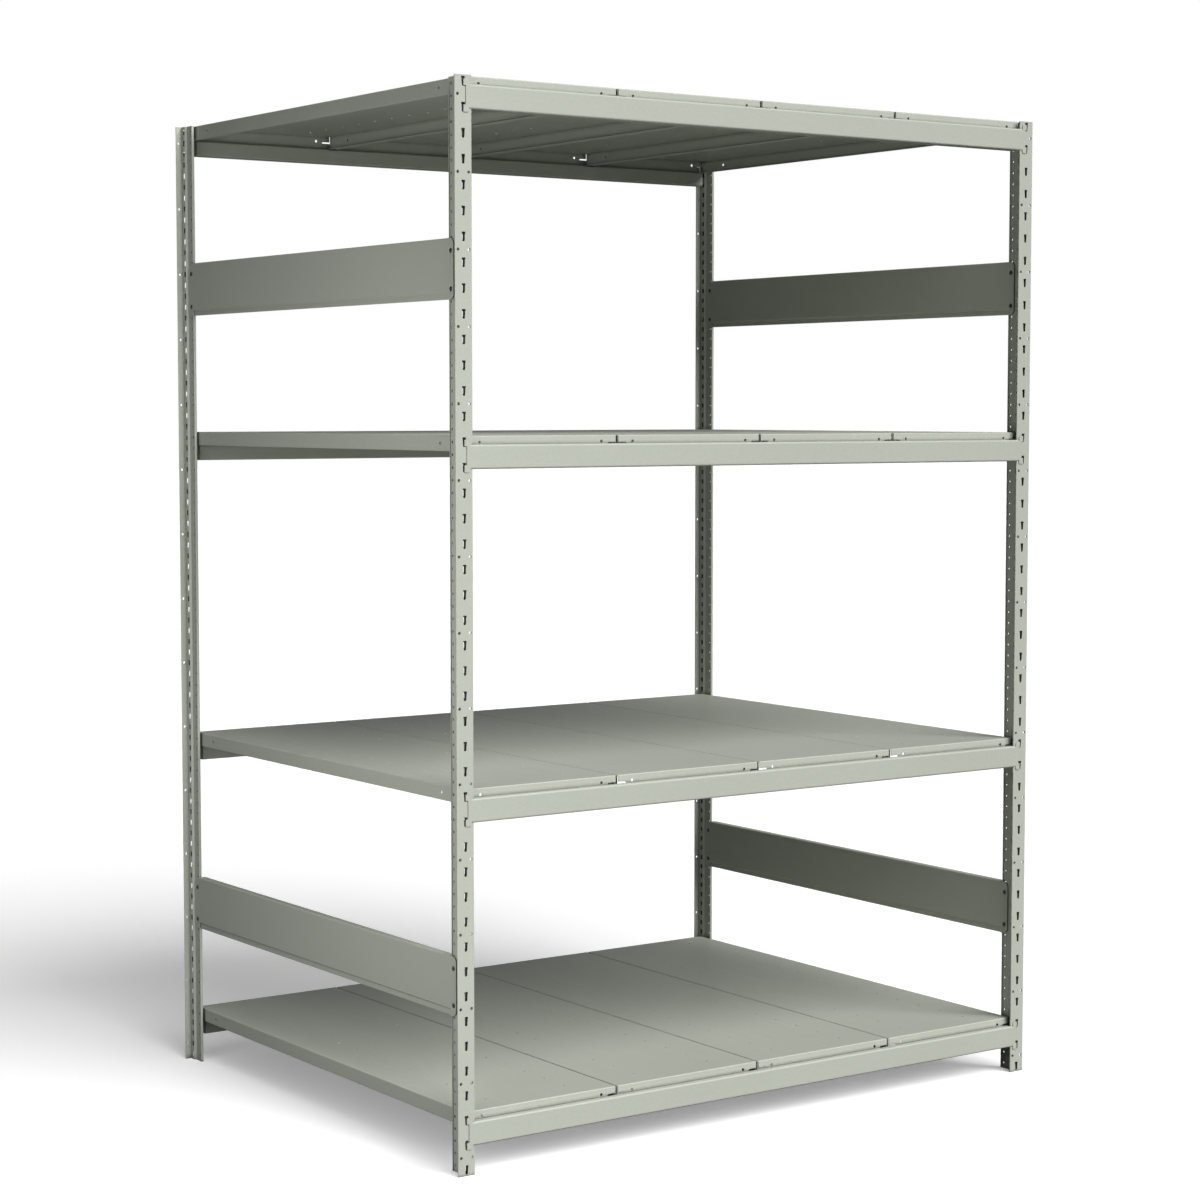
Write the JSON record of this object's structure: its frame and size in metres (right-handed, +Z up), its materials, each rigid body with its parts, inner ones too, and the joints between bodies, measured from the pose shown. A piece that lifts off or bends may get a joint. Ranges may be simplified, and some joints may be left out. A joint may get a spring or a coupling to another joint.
{
  "type": "boltless steel shelving",
  "caption": "Freestanding boltless steel shelving unit with slotted T-posts, step beams hooked into the posts, drop-in steel decks and side tie panels.",
  "frame": {"origin": "on the floor, midway between the four posts", "axes": "+Z up, -Y towards the front of the unit, +X towards its right as seen from the front"},
  "size_m": [1.5636, 1.2356, 2.2098],
  "materials": {
    "post": "satin powder coat",
    "beam": "satin powder coat",
    "connector": "satin powder coat",
    "deck": "satin powder coat",
    "tie_panel": "satin powder coat",
    "fastener": "dark zinc"
  },
  "bodies": {
    "frame": {"post_front_left": "post", "post_front_right": "post", "post_rear_left": "post", "post_rear_right": "post", "beam_top_front": "beam", "beam_top_rear": "beam", "beam_upper_front": "beam", "beam_upper_rear": "beam", "beam_lower_front": "beam", "beam_lower_rear": "beam", "beam_bottom_front": "beam", "beam_bottom_rear": "beam", "connectors_top_front": "connector", "connectors_top_rear": "connector", "connectors_upper_front": "connector", "connectors_upper_rear": "connector", "connectors_lower_front": "connector", "connectors_lower_rear": "connector", "connectors_bottom_front": "connector", "connectors_bottom_rear": "connector", "tie_panel_left_high": "tie_panel", "tie_panel_left_low": "tie_panel", "tie_panel_right_high": "tie_panel", "tie_panel_right_low": "tie_panel", "tie_screws_left_high": "fastener", "tie_screws_left_low": "fastener", "tie_screws_right_high": "fastener", "tie_screws_right_low": "fastener", "tie_nuts_left_high": "fastener", "tie_nuts_left_low": "fastener", "tie_nuts_right_high": "fastener", "tie_nuts_right_low": "fastener"},
    "deck_top_1_body": {"deck_top_1": "deck"},
    "deck_top_2_body": {"deck_top_2": "deck"},
    "deck_top_3_body": {"deck_top_3": "deck"},
    "deck_top_4_body": {"deck_top_4": "deck"},
    "deck_upper_1_body": {"deck_upper_1": "deck"},
    "deck_upper_2_body": {"deck_upper_2": "deck"},
    "deck_upper_3_body": {"deck_upper_3": "deck"},
    "deck_upper_4_body": {"deck_upper_4": "deck"},
    "deck_lower_1_body": {"deck_lower_1": "deck"},
    "deck_lower_2_body": {"deck_lower_2": "deck"},
    "deck_lower_3_body": {"deck_lower_3": "deck"},
    "deck_lower_4_body": {"deck_lower_4": "deck"},
    "deck_bottom_1_body": {"deck_bottom_1": "deck"},
    "deck_bottom_2_body": {"deck_bottom_2": "deck"},
    "deck_bottom_3_body": {"deck_bottom_3": "deck"},
    "deck_bottom_4_body": {"deck_bottom_4": "deck"}
  },
  "joints": [
    {"name": "deck_top_1_lift", "type": "slide", "parent": "frame", "child": "deck_top_1_body", "axis": [0, 0, 1], "range_m": [0, 0.05]},
    {"name": "deck_top_2_lift", "type": "slide", "parent": "frame", "child": "deck_top_2_body", "axis": [0, 0, 1], "range_m": [0, 0.05]},
    {"name": "deck_top_3_lift", "type": "slide", "parent": "frame", "child": "deck_top_3_body", "axis": [0, 0, 1], "range_m": [0, 0.05]},
    {"name": "deck_top_4_lift", "type": "slide", "parent": "frame", "child": "deck_top_4_body", "axis": [0, 0, 1], "range_m": [0, 0.05]},
    {"name": "deck_upper_1_lift", "type": "slide", "parent": "frame", "child": "deck_upper_1_body", "axis": [0, 0, 1], "range_m": [0, 0.05]},
    {"name": "deck_upper_2_lift", "type": "slide", "parent": "frame", "child": "deck_upper_2_body", "axis": [0, 0, 1], "range_m": [0, 0.05]},
    {"name": "deck_upper_3_lift", "type": "slide", "parent": "frame", "child": "deck_upper_3_body", "axis": [0, 0, 1], "range_m": [0, 0.05]},
    {"name": "deck_upper_4_lift", "type": "slide", "parent": "frame", "child": "deck_upper_4_body", "axis": [0, 0, 1], "range_m": [0, 0.05]},
    {"name": "deck_lower_1_lift", "type": "slide", "parent": "frame", "child": "deck_lower_1_body", "axis": [0, 0, 1], "range_m": [0, 0.05]},
    {"name": "deck_lower_2_lift", "type": "slide", "parent": "frame", "child": "deck_lower_2_body", "axis": [0, 0, 1], "range_m": [0, 0.05]},
    {"name": "deck_lower_3_lift", "type": "slide", "parent": "frame", "child": "deck_lower_3_body", "axis": [0, 0, 1], "range_m": [0, 0.05]},
    {"name": "deck_lower_4_lift", "type": "slide", "parent": "frame", "child": "deck_lower_4_body", "axis": [0, 0, 1], "range_m": [0, 0.05]},
    {"name": "deck_bottom_1_lift", "type": "slide", "parent": "frame", "child": "deck_bottom_1_body", "axis": [0, 0, 1], "range_m": [0, 0.05]},
    {"name": "deck_bottom_2_lift", "type": "slide", "parent": "frame", "child": "deck_bottom_2_body", "axis": [0, 0, 1], "range_m": [0, 0.05]},
    {"name": "deck_bottom_3_lift", "type": "slide", "parent": "frame", "child": "deck_bottom_3_body", "axis": [0, 0, 1], "range_m": [0, 0.05]},
    {"name": "deck_bottom_4_lift", "type": "slide", "parent": "frame", "child": "deck_bottom_4_body", "axis": [0, 0, 1], "range_m": [0, 0.05]}
  ]
}
